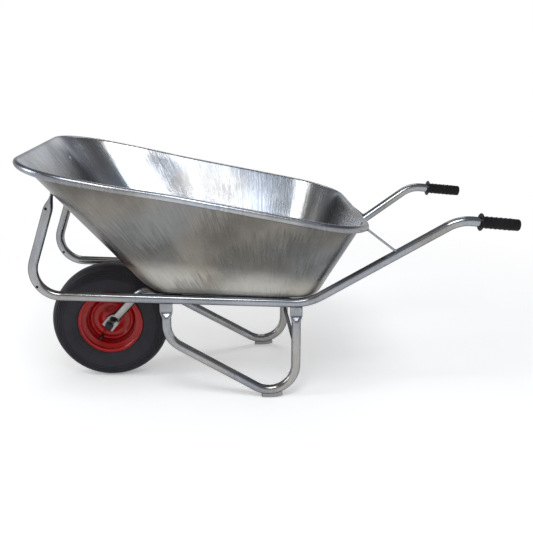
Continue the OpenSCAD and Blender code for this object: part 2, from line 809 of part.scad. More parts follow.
// The rolled rim's section: x is the radius, y the distance from the wheel's middle
module rim_section() {
    slope_w = 7;
    face = [
        [well_r, well_w / 2], [bead_r, well_w / 2 + slope_w],
        [bead_r, rim_half - 1], [bead_r + 1, rim_half],
        [flange_r - 3, rim_half], [flange_r - 1, rim_half + 0.8], [flange_r, rim_half + 2.6],
        [flange_r - 0.8, rim_half + 4.6], [flange_r - 2.6, rim_half + 5.4]
    ];
    back = [
        [flange_r - 3.4, rim_half + 3.6], [flange_r - 3.6, rim_half + rim_t],
        [bead_r - 0.5, rim_half + rim_t], [bead_r - rim_t, rim_half + rim_t - 2],
        [bead_r - rim_t, well_w / 2 + slope_w + 1], [well_r - rim_t, well_w / 2 + 1]
    ];
    half = concat(face, back);
    polygon(concat(half, [for (p = reversed(half)) [p.x, -p.y]]));
}

// The valve's place on the wheel, and its line towards the axle
valve_turn = 239;
valve_side = 14;
module at_valve() {
    on_axle() rotate([0, 0, valve_turn]) translate([0, 0, valve_side]) rotate([0, 90, 0]) children();
}

module wheel_rim() {
    color("firebrick")
        difference() {
            on_axle() rotate_extrude() rim_section();
            at_valve() translate([0, 0, well_r - 12]) cylinder(r = valve_d / 2 + run, h = 24);
        }
}

// The disc's middle surface, as its distance to the left of the wheel's middle
hub_r = bearing_r + hub_wall;
disc_edge = well_r - rim_t - seat;
function disc_z(r) =
    -2 + disc_ring_h * bell(r, mix(hub_r, disc_edge, 0.76), 11)
    + disc_dome_h * bell(r, hub_r, (disc_edge - hub_r) * 0.52);

module wheel_disc() {
    steps = 26;
    line = [for (k = [0 : steps]) let(r = mix(hub_r + seat, disc_edge, k / steps)) [r, disc_z(r)]];
    fold = disc_edge - rim_t;
    color("firebrick") on_axle()
        rotate_extrude()
            polygon(concat(
                [for (p = line) [p.x, p.y + rim_t / 2]],
                [[disc_edge, -14], [fold, -14], [fold, disc_z(fold) - rim_t / 2]],
                reversed([for (p = line) if (p.x < fold - 0.5) [p.x, p.y - rim_t / 2]])
            ));
}

// Tyre section: half of an outline with its widest point part-way up the sidewall
tyre_foot = flange_r + 0.5;
tyre_mid = mix(flange_r, tyre_d / 2, 0.42);
bead_half = rim_half - 0.2;
bead_bore = bead_r + 0.2;
function sidewall(foot, mid, top, half_foot, half_wide, square_p) = concat(
    [for (k = [0 : 5])
        let(a = 90 * k / 6) [mid - (mid - foot) * cos(a), mix(half_foot, half_wide, sin(a))]],
    [for (k = [0 : 9])
        let(a = 90 * k / 10) [mid + (top - mid) * pow(sin(a), square_p), half_wide * pow(cos(a), square_p)]]
);

module tyre_half_section() {
    polygon(concat(
        [[bead_bore, bead_half - 12], [bead_bore, bead_half - 1.2], [bead_bore + 1.1, bead_half]],
        sidewall(tyre_foot, tyre_mid, tyre_d / 2, bead_half, tyre_w / 2, 0.74),
        [[tyre_d / 2, 0], [tyre_d / 2 - tread_t, 0]],
        reversed(sidewall(
            tyre_foot + 4, tyre_mid, tyre_d / 2 - tread_t, bead_half - 9, tyre_w / 2 - sidewall_t, 0.8
        ))
    ));
}

module tyre() {
    groove = 3.5;
    color([0.12, 0.12, 0.13]) on_axle()
        rotate_extrude() for (s = [0, 1]) mirror([0, s])
            difference() {
                tyre_half_section();
                for (y = [9, 22, 34])
                    translate([tyre_d / 2 - (y > 30 ? 10 : y > 20 ? 5.5 : 4), y - groove / 2])
                        square([20, groove]);
            }
}

// Butyl tube inside the tyre, hanging down into the rim's well
tube_clear = 1.2;
tube_skin = 2;
module air_ring(inset) {
    half = tyre_w / 2 - sidewall_t - tube_clear - inset;
    top = tyre_d / 2 - tread_t - tube_clear - inset;
    low = well_r + tube_clear + inset;
    foot = well_w / 2 - tube_clear - inset;
    polygon(concat(
        [[low, 0], [low, foot]],
        sidewall(tyre_foot + 5, tyre_mid, top, bead_half - 12 - tube_clear - inset, half, 0.9),
        [[top, 0]]
    ));
}

module inner_tube() {
    color([0.2, 0.2, 0.2]) on_axle()
        rotate_extrude() for (s = [0, 1]) mirror([0, s])
            difference() {
                air_ring(0);
                air_ring(tube_skin);
            }
}

valve_top = well_r - rim_t;
valve_out = 21;
cap_l = 12;
module valve_stem() {
    color([0.05, 0.05, 0.05]) at_valve()
        translate([0, 0, valve_top - valve_out])
            cylinder(d = valve_d, h = valve_out + rim_t + tube_clear - 3 * seat, $fn = fine);
}

module valve_cap() {
    color([0.02, 0.02, 0.02]) at_valve()
        translate([0, 0, valve_top - valve_out - 3])
            difference() {
                cylinder(d = valve_d + 2, h = cap_l, $fn = fine);
                translate([0, 0, 3 - seat]) cylinder(d = valve_d + 2 * seat, h = cap_l, $fn = fine);
            }
}

// ---------- fasteners ----------

// Domed head on Z = 0 and a shank down the negative Z
module round_bolt(grip) {
    cylinder(d1 = bolt_d * 2.2, d2 = bolt_d * 1.9, h = 2, $fn = fine);
    translate([0, 0, 2]) cylinder(d1 = bolt_d * 1.9, d2 = bolt_d, h = 2, $fn = fine);
    translate([0, 0, -grip]) cylinder(d = bolt_d, h = grip, $fn = fine);
}

small_washer_t = 1.6;
small_nut_t = 6.5;
module small_washer() { tube_z(washer_d / 2, bolt_d / 2 + seat, small_washer_t, $fn = fine); }
module small_nut() {
    difference() {
        cylinder(d = nut_af / cos(30), h = small_nut_t, $fn = 6);
        translate([0, 0, -1]) cylinder(d = bolt_d + 2 * seat, h = small_nut_t + 2, $fn = fine);
    }
}

// What is clamped under the floor at each bar
function clamp_at(x) = bar_drop + (x == bar_front_x ? flat_t + seat : 0);

// Both bolts at the bar at x, with Z = 0 on the floor's outer face
module at_floor_bolts(x) {
    place() for (y = [-bolt_y, bolt_y]) on_floor(x, y) children();
}

module floor_bolts() {
    color(dark_steel) for (x = bars_x) at_floor_bolts(x)
        translate([0, 0, pan_t + seat]) round_bolt(pan_t + clamp_at(x) + small_washer_t + small_nut_t + 5);
}

module floor_washers() {
    color(galvanised) for (x = bars_x) at_floor_bolts(x)
        translate([0, 0, -clamp_at(x) - seat - small_washer_t]) small_washer();
}

module floor_nuts() {
    color(dark_steel) for (x = bars_x) at_floor_bolts(x)
        translate([0, 0, -clamp_at(x) - 2 * seat - small_washer_t - small_nut_t]) small_nut();
}

// Local Z points into the pan, with Z = 0 on the front wall's outer face
module at_hoop_bolts() {
    both_sides() along(on_front(hoop_bolt_s, 0, -rail_y), [-front_out.x, 0, -front_out.y]) children();
}

tab_out = flat_t + 2 * seat;
module hoop_bolts() {
    color(dark_steel) at_hoop_bolts()
        translate([0, 0, pan_t + seat]) round_bolt(pan_t + tab_out + small_washer_t + small_nut_t + 5);
}

module hoop_washers() {
    color(galvanised) at_hoop_bolts()
        translate([0, 0, -tab_out - small_washer_t]) small_washer();
}

module hoop_nuts() {
    color(dark_steel) at_hoop_bolts()
        translate([0, 0, -tab_out - seat - small_washer_t - small_nut_t]) small_nut();
}

pan();
left_side_tube();
right_side_tube();
left_leg();
right_leg();
left_foot_shoe();
right_foot_shoe();
leg_cross_brace();
front_pan_bar();
rear_pan_bar();
left_fork_stay();
right_fork_stay();
left_rim_stay();
right_rim_stay();
left_grip();
right_grip();
axle();
axle_nuts();
axle_washers();
axle_sleeve();
left_distance_sleeve();
right_distance_sleeve();
hub_tube();
wheel_rim();
wheel_disc();
tyre();
inner_tube();
valve_stem();
valve_cap();
left_bearing_outer_ring();
right_bearing_outer_ring();
left_bearing_inner_ring();
right_bearing_inner_ring();
left_bearing_balls();
right_bearing_balls();
left_bearing_cage();
right_bearing_cage();
floor_bolts();
floor_washers();
floor_nuts();
hoop_bolts();
hoop_washers();
hoop_nuts();
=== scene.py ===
# %% [markdown]
# # A galvanised wheelbarrow
# This lesson dresses the measured frame of a builder's barrow: a pressed steel pan on
# bent tubes, with one air-filled wheel. The frame gives every place and size. Blender
# adds what a caliper misses: the smooth skin of the pan, rubber, weld beads and zinc.

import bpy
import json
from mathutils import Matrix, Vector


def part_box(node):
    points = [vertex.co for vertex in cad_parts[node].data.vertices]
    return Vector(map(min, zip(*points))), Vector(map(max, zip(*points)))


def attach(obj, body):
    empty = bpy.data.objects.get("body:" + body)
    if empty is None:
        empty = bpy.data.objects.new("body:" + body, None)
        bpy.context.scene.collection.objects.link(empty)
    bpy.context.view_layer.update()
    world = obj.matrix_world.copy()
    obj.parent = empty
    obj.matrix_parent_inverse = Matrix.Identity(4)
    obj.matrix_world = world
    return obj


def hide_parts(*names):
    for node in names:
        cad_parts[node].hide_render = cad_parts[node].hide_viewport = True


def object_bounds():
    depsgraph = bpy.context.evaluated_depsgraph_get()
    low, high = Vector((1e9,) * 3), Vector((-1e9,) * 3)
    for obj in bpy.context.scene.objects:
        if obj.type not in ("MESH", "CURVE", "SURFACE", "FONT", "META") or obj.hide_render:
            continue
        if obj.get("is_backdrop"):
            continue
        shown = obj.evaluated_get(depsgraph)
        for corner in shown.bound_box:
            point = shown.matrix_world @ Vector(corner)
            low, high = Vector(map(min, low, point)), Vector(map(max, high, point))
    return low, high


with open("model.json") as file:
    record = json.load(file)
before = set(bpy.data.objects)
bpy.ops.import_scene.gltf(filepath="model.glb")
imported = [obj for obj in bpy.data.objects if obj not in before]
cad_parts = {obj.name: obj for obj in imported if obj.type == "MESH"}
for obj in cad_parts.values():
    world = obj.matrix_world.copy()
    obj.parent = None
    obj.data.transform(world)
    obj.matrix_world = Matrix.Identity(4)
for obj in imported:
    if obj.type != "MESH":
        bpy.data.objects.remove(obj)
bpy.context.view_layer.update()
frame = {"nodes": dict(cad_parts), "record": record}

# %% [markdown]
# ## Measures
# Lengths on a barrow are easiest to take from the axle, as its maker does. `at` turns
# millimetres from the axle's upright plane into metres of the frame, so the numbers
# below can be compared with a real barrow and a tape.

# %% Measures from the axle
import json
import math

import bpy
from mathutils import Vector

axle_low, axle_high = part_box("axle")
AXLE = (axle_low + axle_high) / 2
nodes = frame["nodes"]


def at(x, y, z):
    """A point in metres from millimetres: x back from the axle, y right, z over the ground."""
    return Vector((AXLE.x + x / 1000, y / 1000, z / 1000))


def sin(degrees):
    return math.sin(math.radians(degrees))


def cos(degrees):
    return math.cos(math.radians(degrees))


def tan(degrees):
    return math.tan(math.radians(degrees))


def mix(a, b, u):
    return a + (b - a) * u


def ease(u):
    u = min(1, max(0, u))
    return u * u * (3 - 2 * u)


print("axle at", [round(v, 4) for v in AXLE])

# %% [markdown]
# ## Clearing the table
# An operator works on everything that is selected, and the frame arrives selected. So
# each piece starts by clearing the selection, and one small helper does it every time.

# %% Selection and finishing helpers
def start_fresh():
    if bpy.context.object and bpy.context.object.mode != "OBJECT":
        bpy.ops.object.mode_set(mode="OBJECT")
    bpy.ops.object.select_all(action="DESELECT")


def named(name):
    piece = bpy.context.object
    piece.name = piece.data.name = name
    return piece


def settle(piece, smooth_below=40):
    """Puts the piece's place into its mesh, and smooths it."""
    start_fresh()
    piece.select_set(True)
    bpy.context.view_layer.objects.active = piece
    bpy.ops.object.transform_apply(location=True, rotation=True, scale=True)
    bpy.ops.object.shade_smooth_by_angle(angle=math.radians(smooth_below))
    size = [round(v, 3) for v in piece.dimensions]
    print(piece.name, len(piece.data.polygons), "faces,", size)
    return piece


# %% [markdown]
# ## Two ways to make a skin
# `wrap_grid` lays out a flat grid, one row for each outline and one column for each
# point of it, then puts every grid point in its place and closes the seam. `lathe`
# places a circle's points on a cross-section and spins it round the axle.

# %% A grid wrapped over a stack of outlines
def wrap_grid(name, rings, close=True, marks=None):
    """marks gives each named attribute a value for each outline, or for each of its points."""
    start_fresh()
    rows, columns = len(rings), len(rings[0])
    across = columns if close else columns - 1
    bpy.ops.mesh.primitive_grid_add(x_subdivisions=across, y_subdivisions=rows - 1, size=1)
    piece = named(name)
    for key in marks or {}:
        piece.data.attributes.new(key, "FLOAT", "POINT")
    for v in piece.data.vertices:
        column = round((v.co.x + 0.5) * across) % columns
        row = round((v.co.y + 0.5) * (rows - 1))
        v.co = rings[row][column]
        for key, values in (marks or {}).items():
            value = values[row]
            own = value[column] if isinstance(value, list) else value
            piece.data.attributes[key].data[v.index].value = own
    bpy.ops.object.mode_set(mode="EDIT")
    bpy.ops.mesh.select_all(action="SELECT")
    bpy.ops.mesh.remove_doubles(threshold=1e-6)
    bpy.ops.mesh.normals_make_consistent(inside=False)
    bpy.ops.object.mode_set(mode="OBJECT")
    return piece


# %% A section spun round the axle
def lathe(name, section, steps=144, centre=None, axis=(0, 1, 0)):
    """section is a closed list of (radius, y) in millimetres."""
    start_fresh()
    centre = AXLE if centre is None else centre
    bpy.ops.mesh.primitive_circle_add(vertices=len(section), radius=1)
    piece = named(name)
    for v, (radius, y) in zip(piece.data.vertices, section):
        v.co = centre + Vector((radius / 1000, y / 1000, 0))
    bpy.ops.object.mode_set(mode="EDIT")
    bpy.ops.mesh.select_all(action="SELECT")
    bpy.ops.mesh.spin(steps=steps, angle=2 * math.pi, center=centre, axis=axis)
    bpy.ops.mesh.select_all(action="SELECT")
    bpy.ops.mesh.remove_doubles(threshold=1e-6)
    bpy.ops.mesh.normals_make_consistent(inside=False)
    bpy.ops.object.mode_set(mode="OBJECT")
    return piece


# %% [markdown]
# ## The pan
# The pan is drawn from one sheet of steel. Its floor is a small rounded rectangle on
# the rails, and its rim is a bigger one that tips towards the handles and is wider at
# the pouring end. The walls run straight from one to the other. A smooth skin matters
# here more than anywhere, because bare zinc shows every facet, so the frame's pan is
# replaced by the same form with many more points.

# %% Outlines of the pan
RAIL_FALL, RIM_FALL, TUBE_RADIUS, FLOOR_DROP = 2.8, 11.4, 15, 8
RAIL_HEIGHT, RIM_HEIGHT = 348, 748


def rail_line(x):
    """The height of the middle of a rail, which falls towards the handles' end."""
    return RAIL_HEIGHT - x * tan(RAIL_FALL)


def floor_height(x):
    return rail_line(x) + TUBE_RADIUS / cos(RAIL_FALL) - FLOOR_DROP


def rim_height(x):
    return RIM_HEIGHT - x * tan(RIM_FALL)


END_STEPS, CORNER_STEPS, SIDE_STEPS = 8, 28, 48


def outline(front, rear, half_front, half_rear, corner):
    """A rounded rectangle, drawn down one side and mirrored, that narrows behind its nose."""
    ends = front + corner, rear - corner
    flat_front, flat_rear = half_front - corner, half_rear - corner
    half = []
    for k in range(END_STEPS):
        half.append((front, -flat_front * k / END_STEPS))
    for k in range(CORNER_STEPS + 1):
        a = 90 * k / CORNER_STEPS
        half.append((ends[0] - corner * cos(a), -(flat_front + corner * sin(a))))
    for k in range(1, SIDE_STEPS):
        t = k / SIDE_STEPS
        half.append((mix(*ends, t), -mix(half_front, half_rear, ease((t - 0.1) / 0.35))))
    for k in range(CORNER_STEPS + 1):
        a = 90 * k / CORNER_STEPS
        half.append((ends[1] + corner * sin(a), -(flat_rear + corner * cos(a))))
    for k in range(1, END_STEPS + 1):
        half.append((rear, -flat_rear * (1 - k / END_STEPS)))
    return half + [(x, -y) for x, y in half[-2:0:-1]]


def floor_ring(inset, lift):
    line = outline(150 + inset, 693 - inset, 201 - inset, 201 - inset, 84 - inset)
    return [at(x, y, floor_height(x) + lift) for x, y in line]


def rim_ring(inset, lift):
    line = outline(inset - 203, 826 - inset, 410 - inset, 379 - inset, 165 - inset)
    return [at(x, y, rim_height(x) + lift) for x, y in line]


def between(a, b, u):
    return [p.lerp(q, u) for p, q in zip(a, b)]


# %% The sheet of the pan
SHEET, ROLL, LEAN, ROUND = 1.5, 11, 30, 55  # thickness, roll, lean of the wall, foot's rounding
WALL = 480  # slant height of the walls
BEND_STEPS, WALL_STEPS, ROLL_STEPS = 14, 14, 26
NESTLE, NESTLE_REACH = 0.0028, 0.035


def nestle(p):
    """Sets the foot of a side wall down on its rail, so that no light shows between them."""
    x, y = (p.x - AXLE.x) * 1000, abs(p.y) * 1000
    over = ease((y - 158) / 20) * ease((212 - y) / 14) * ease((x - 150) / 60) * ease((615 - x) / 40)
    if p.z < rail_line(x) / 1000 + NESTLE_REACH:
        return p - Vector((0, 0, NESTLE * over))
    return p


def wall_face(radius, inset, lift):
    inner, edge = floor_ring(inset + ROUND, lift), floor_ring(inset, lift)
    top = rim_ring(radius * cos(LEAN), radius * sin(LEAN))
    bent = between(edge, top, ROUND / WALL)
    middle = sum(inner, Vector()) / len(inner)
    rings = [[middle.lerp(p, u) for p in inner] for u in (0.02, 0.35, 0.7)]
    for k in range(BEND_STEPS + 1):
        u = k / BEND_STEPS
        rings.append(between(between(inner, edge, u), between(edge, bent, u), u))
    rings = [[nestle(p) for p in ring] for ring in rings]
    climb = [mix(ROUND / WALL, 1, k / WALL_STEPS) for k in range(1, WALL_STEPS)]
    return rings + [between(edge, top, u) for u in climb]


def roll_face(radius):
    turns = [mix(180 - LEAN, -125, k / ROLL_STEPS) for k in range(ROLL_STEPS + 1)]
    return [rim_ring(-radius * cos(a), radius * sin(a)) for a in turns]


outside = wall_face(ROLL - SHEET, 0, 0)
lining = wall_face(ROLL, SHEET * tan(45 - LEAN / 2), SHEET)
rings = outside + roll_face(ROLL - SHEET) + roll_face(ROLL)[::-1] + lining[::-1]

# %% [markdown]
# ## Marks on the sheet
# The zinc needs to know where on the sheet it lies. So each outline carries marks from 0
# to 1: how level the sheet is, how far up the wall, whether it is the lining or the lip,
# and whether it belongs to an end or the nose. `around` is the way along the rim in metres.

# %% Marks of the pan, and its mesh
wall_rows, roll_rows = range(len(outside)), range(ROLL_STEPS + 1)
off_wall, off_roll, on_roll = [0] * len(outside), [0] * len(roll_rows), [1] * len(roll_rows)
rise = [ease((k - 18) / 3.5) for k in wall_rows]
level = [1 - ease((k - 3) / 8) for k in wall_rows]
level += off_roll * 2 + level[::-1]
lips = [ease((k - 3) / 5) for k in roll_rows]
rim = rim_ring(0, 0)
around = [0]
for k in range(1, len(rim)):
    onward = k <= len(rim) // 2
    around.append(around[-1] + (rim[k] - rim[k - 1]).length * (1 if onward else -1))
ends = []
for k, p in enumerate(rim):
    course = rim[(k + 1) % len(rim)] - rim[k - 1]
    ends.append(ease((abs(course.y) / course.length - 0.6) / 0.35))
# climb, ends, nose, lining and lip also place the painted light and shade on the zinc.
marks = {
    "around": [around] * len(rings),
    "ends": [[value * (1 - low) for value in ends] for low in level],
    "nose": [[value if p.x < AXLE.x else 0 for value, p in zip(ends, rim)]] * len(rings),
    "climb": rise + on_roll * 2 + rise[::-1],
    "level": level,
    "lining": off_wall + off_roll + [1 - lip for lip in lips[::-1]] + [1] * len(lining),
    "lip": off_wall + on_roll + lips[::-1] + off_wall,
}
pan = wrap_grid("pan_sheet", rings, marks=marks)
bpy.ops.object.mode_set(mode="EDIT")
bpy.ops.mesh.select_mode(type="EDGE")
bpy.ops.mesh.select_all(action="DESELECT")
bpy.ops.mesh.select_non_manifold()
bpy.ops.mesh.edge_face_add()
bpy.ops.mesh.select_all(action="SELECT")
bpy.ops.mesh.normals_make_consistent(inside=False)
bpy.ops.object.mode_set(mode="OBJECT")
settle(pan, 50)
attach(pan, "frame")
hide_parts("pan")

# %% [markdown]
# ## The tyre
# A barrow tyre is almost a ring of plain rubber: thin lines round the sidewall, a
# ribbed tread, and a bead that sits behind the rim's flange. The section is drawn once,
# with its grooves, and spun round the axle.

# %% Tyre section
TYRE_RADIUS, HALF_WIDTH, BULGE_RADIUS = 200, 50, 147.8
FLANGE_RADIUS, HALF_BEAD, SQUARENESS = 110.5, 38.3, 0.74
LOW_STEPS, HIGH_STEPS = 32, 72


def tyre_outline():
    """Half of the outer outline, from the bead to the middle of the tread, as (radius, y)."""
    points = []
    for k in range(LOW_STEPS + 1):
        a = 90 * k / LOW_STEPS
        radius = BULGE_RADIUS - (BULGE_RADIUS - FLANGE_RADIUS) * cos(a)
        points.append([radius, mix(HALF_BEAD, HALF_WIDTH, sin(a))])
    for k in range(1, HIGH_STEPS):
        a = 90 * k / HIGH_STEPS
        radius = BULGE_RADIUS + (TYRE_RADIUS - BULGE_RADIUS) * sin(a) ** SQUARENESS
        points.append([radius, HALF_WIDTH * cos(a) ** SQUARENESS])
    return points


def groove(points, low, high, depth):
    """Sinks the outline between two radii."""
    for p in points:
        if low < p[0] < high:
            p[0] -= depth * 0.35
            p[1] -= depth


half = tyre_outline()
for low, high, depth in (
    (119, 121, -0.6), (127, 128, 0.5), (158, 160.5, 1.2), (164, 166.5, 1.6),
    (170, 172.5, 1.8), (176, 179, 2.0), (182.5, 185, 1.6),
):
    groove(half, low, high, depth)
print("tyre outline", len(half), "points")
inner = [
    (190, 0), (188, 22), (178, 38), (165, 44), (BULGE_RADIUS, 45), (130, 42), (114, 33),
    (101.7, 26.5), (101.7, 37.1), (102.9, HALF_BEAD),
]
outer = [tuple(p) for p in half] + [(TYRE_RADIUS, 0)]
tyre_section = (
    outer + [(r, -y) for r, y in outer[-2::-1]]
    + [(r, -y) for r, y in inner[::-1]] + inner[1:]
)
tyre = lathe("tyre_casing", tyre_section, steps=192)
settle(tyre, 30)
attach(tyre, "wheel")
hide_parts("tyre")

# %% [markdown]
# ## Weld beads
# A frame of tubes is held by welds, and a joint with no bead looks glued. A bead is a
# row of small frozen puddles, so it is a thin rod with a ripple every few millimetres
# and a taper where the welder started and stopped. One helper lays a bead along any
# path, and the beads of one kind of joint are joined into one piece.

# %% Lay a bead
RIPPLE, RIPPLE_STEP, OVERLAP = 2.6, 0.65, 390


def bead(path, length, radius, square=(0, 0.3, 1)):
    """path gives a point for u from 0 to 1, and square is a direction it never runs along."""
    count = round(length / RIPPLE_STEP)
    rings = []
    for k in range(count + 1):
        u = k / count
        onward = (path(u + 0.001) - path(u - 0.001)).normalized()
        side = onward.cross(Vector(square)).normalized()
        up = side.cross(onward)
        taper = math.sqrt(ease(min(u, 1 - u) * length / (2 * radius)))
        puddle = abs(math.sin(math.pi * u * length / RIPPLE))
        size = radius / 1000 * taper * (0.84 + 0.16 * puddle)
        ring = [(side * cos(a) + up * sin(a)) * size for a in range(0, 360, 36)]
        rings.append([path(u) + spoke for spoke in ring])
    return wrap_grid("bead", rings)


def run(start, end, radius, square=(0, 0.3, 1)):
    """A straight bead between two points in millimetres from the axle."""
    start, end = at(*start), at(*end)
    return bead(lambda u: start.lerp(end, u), (end - start).length * 1000, radius, square)


def collar(centre, way, turn_radius, radius):
    """A bead right round a rod, whose ends overlap a little."""
    way = Vector(way).normalized()
    side = way.cross(Vector((0, 0, 1))).normalized()
    up = side.cross(way)

    def path(u):
        turn = u * OVERLAP
        return at(*centre) + (side * cos(turn) + up * sin(turn)) * turn_radius / 1000

    return bead(path, math.radians(OVERLAP) * turn_radius, radius, way)


def join_beads(name, beads):
    start_fresh()
    for piece in beads:
        piece.select_set(True)
    bpy.context.view_layer.objects.active = beads[0]
    bpy.ops.object.join()
    settle(named(name), 50)
    piece = bpy.context.object
    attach(piece, "frame")
    return piece


# %% Beads of the frame
LEGS, RAIL_Y, BARS = (204, 620), 198, (235, 578)
HALF_TAB, HALF_BAR = 21, 20
tabs, bars, stays, braces = [], [], [], []


def along_rail(x, y, half_length, lift, radius):
    """A bead that follows the rail, as far on one side of x as on the other."""
    start, end = x - half_length, x + half_length
    return run((start, y, rail_line(start) + lift), (end, y, rail_line(end) + lift), radius)


for side in (-1, 1):
    for x in LEGS:
        for face in (-3.5, 3.5):
            tabs.append(along_rail(x, side * (RAIL_Y + 0.9 + face), HALF_TAB, -14.8, 2.5))
    for x in BARS:
        bars.append(along_rail(x, side * (RAIL_Y - TUBE_RADIUS), HALF_BAR, 0.4, 2.2))
    for face in (-2.8, 2.8):
        x = LEGS[1] + face
        braces.append(run((x, side * 194.2, 146), (x, side * 192.6, 174), 2.2, (1, 0, 0)))
    top, foot = Vector((814, side * 275.8, 583.9)), Vector((930, side * 248.3, 492.6))
    way = (foot - top).normalized()
    stays.append(collar(top + way * 12.5, way, 4, 1.8))
    stays.append(collar(foot - way * 16, way, 4, 1.8))
WELDS = [
    join_beads("leg_weld_beads", tabs), join_beads("bar_weld_beads", bars),
    join_beads("brace_weld_beads", braces), join_beads("stay_weld_beads", stays),
]

# %% [markdown]
# ## Building finishes out of nodes
# `add` places one shader node, fills its sockets with values or wires, and hands it
# back. With it a material reads from top to bottom like a recipe. Effects that several
# finishes share are node groups: built once, with named sockets, and placed with their
# own values.

# %% Node helpers
def add(tree, kind, sockets=None, **settings):
    n = tree.nodes.new(kind)
    for key, value in settings.items():
        setattr(n, key, value)
    for key, value in (sockets or {}).items():
        if isinstance(value, bpy.types.NodeSocket):
            tree.links.new(value, n.inputs[key])
        else:
            n.inputs[key].default_value = value
    return n


def group(name, inputs, outputs):
    """An empty node group with float sockets, given as {name: default} and [names]."""
    tree = bpy.data.node_groups.new(name, "ShaderNodeTree")
    for key, value in inputs.items():
        kind = "NodeSocketColor" if isinstance(value, tuple) else "NodeSocketFloat"
        tree.interface.new_socket(key, in_out="INPUT", socket_type=kind).default_value = value
    for key in outputs:
        kind = "NodeSocketColor" if "Colour" in key else "NodeSocketFloat"
        tree.interface.new_socket(key, in_out="OUTPUT", socket_type=kind)
    return tree, add(tree, "NodeGroupInput").outputs, add(tree, "NodeGroupOutput").inputs


def ramp(tree, value, low, high, to_low=0.0, to_high=1.0):
    return add(tree, "ShaderNodeMapRange", {
        "Value": value, "From Min": low, "From Max": high, "To Min": to_low, "To Max": to_high,
    }, interpolation_type="SMOOTHSTEP").outputs["Result"]


def blend_colour(tree, factor, a, b, mode="MIX"):
    n = add(tree, "ShaderNodeMix", {0: factor, 6: a, 7: b}, data_type="RGBA", blend_type=mode)
    return n.outputs[2]


def maths(tree, what, a, b=0.0):
    return add(tree, "ShaderNodeMath", {0: a, 1: b}, operation=what).outputs[0]


def object_points(tree, scale=(1, 1, 1), turn=(0, 0, 0)):
    place = add(tree, "ShaderNodeTexCoord").outputs["Object"]
    sockets = {"Vector": place, "Scale": scale, "Rotation": turn}
    return add(tree, "ShaderNodeMapping", sockets).outputs[0]


# %% [markdown]
# ## Zinc
# Steel dipped in molten zinc comes out with a bloom: faint crystals the size of a
# thumbnail, cloudy patches, and long streaks where the metal ran off. Brightness and
# roughness change together, so the group gives a colour, a roughness and a height.

# %% Zinc bloom group
zinc, given, wanted = group(
    "Zinc Bloom",
    {
        "Dark": (0.3, 0.31, 0.33, 1), "Light": (0.7, 0.71, 0.72, 1),
        "Warm": (1.05, 1, 0.92, 1), "Cool": (0.98, 1, 1.03, 1),
        "Crystal Size": 90.0, "Crystals": 0.2, "Clouds": 0.5, "Cloud Size": 6.0,
        "Streaks": 0.4, "Streak Size": 150.0, "Smoothest": 0.22, "Roughest": 0.5,
    },
    ["Colour", "Roughness", "Height"],
)
zinc.interface.new_socket("Drawn Place", in_out="INPUT", socket_type="NodeSocketVector")


def swing(tree, value, low, high, amount):
    """A value between two bounds, turned into a swing of the given amount about zero."""
    return maths(tree, "MULTIPLY", ramp(tree, value, low, high, -0.5, 0.5), amount)


place = object_points(zinc)
cells = add(zinc, "ShaderNodeTexVoronoi", {"Vector": place, "Scale": given["Crystal Size"]})
cell_tone = add(zinc, "ShaderNodeSeparateColor", {0: cells.outputs["Color"]}).outputs[0]
runs = add(zinc, "ShaderNodeTexNoise", {
    "Vector": given["Drawn Place"], "Scale": given["Streak Size"], "Detail": 4.0, "Roughness": 0.65,
}).outputs["Fac"]
combed = add(zinc, "ShaderNodeCombineXYZ", {"Z": swing(zinc, runs, 0.3, 0.7, 0.05)})
combed = add(zinc, "ShaderNodeVectorMath", {0: place, 1: combed.outputs[0]}, operation="ADD")
clouds = add(zinc, "ShaderNodeTexNoise", {
    "Vector": combed.outputs[0], "Scale": given["Cloud Size"], "Detail": 4.0, "Roughness": 0.5,
}).outputs["Fac"]
tone = 0.5
for part in (
    swing(zinc, cell_tone, 0, 1, given["Crystals"]),
    swing(zinc, clouds, 0.35, 0.68, given["Clouds"]),
    swing(zinc, runs, 0.3, 0.7, given["Streaks"]),
):
    tone = maths(zinc, "ADD", part, tone)
grey = blend_colour(zinc, tone, given["Dark"], given["Light"])
tinge = add(zinc, "ShaderNodeTexNoise", {
    "Vector": combed.outputs[0], "Scale": 3.5, "Detail": 2.0,
}).outputs["Fac"]
tint = blend_colour(zinc, ramp(zinc, tinge, 0.4, 0.62), given["Cool"], given["Warm"])
zinc.links.new(blend_colour(zinc, 1.0, grey, tint, "MULTIPLY"), wanted["Colour"])
rough = add(zinc, "ShaderNodeMapRange", {
    "Value": tone, "To Min": given["Roughest"], "To Max": given["Smoothest"],
})
zinc.links.new(rough.outputs["Result"], wanted["Roughness"])
zinc.links.new(maths(zinc, "ADD", runs, maths(zinc, "MULTIPLY", cell_tone, 0.05)), wanted["Height"])
print("zinc group:", len(zinc.nodes), "nodes")


# %% [markdown]
# ## Metal that keeps its zinc
# Every metal here is a Principled shader fed by the zinc group. Each finish has its own
# tones, crystal size and streaks, because a pressed sheet cools slowly and shows more
# bloom than a thin tube.

# %% Zinc finishes
def finish(name, **settings):
    """A material with a Principled shader whose own sockets take the constant values."""
    made = bpy.data.materials.new(name)
    made.use_nodes = True
    shader = made.node_tree.nodes["Principled BSDF"]
    for key, value in settings.items():
        shader.inputs[key.replace("_", " ")].default_value = value
    return made, made.node_tree, shader


def mark(tree, name):
    return add(tree, "ShaderNodeAttribute", attribute_name=name).outputs["Fac"]


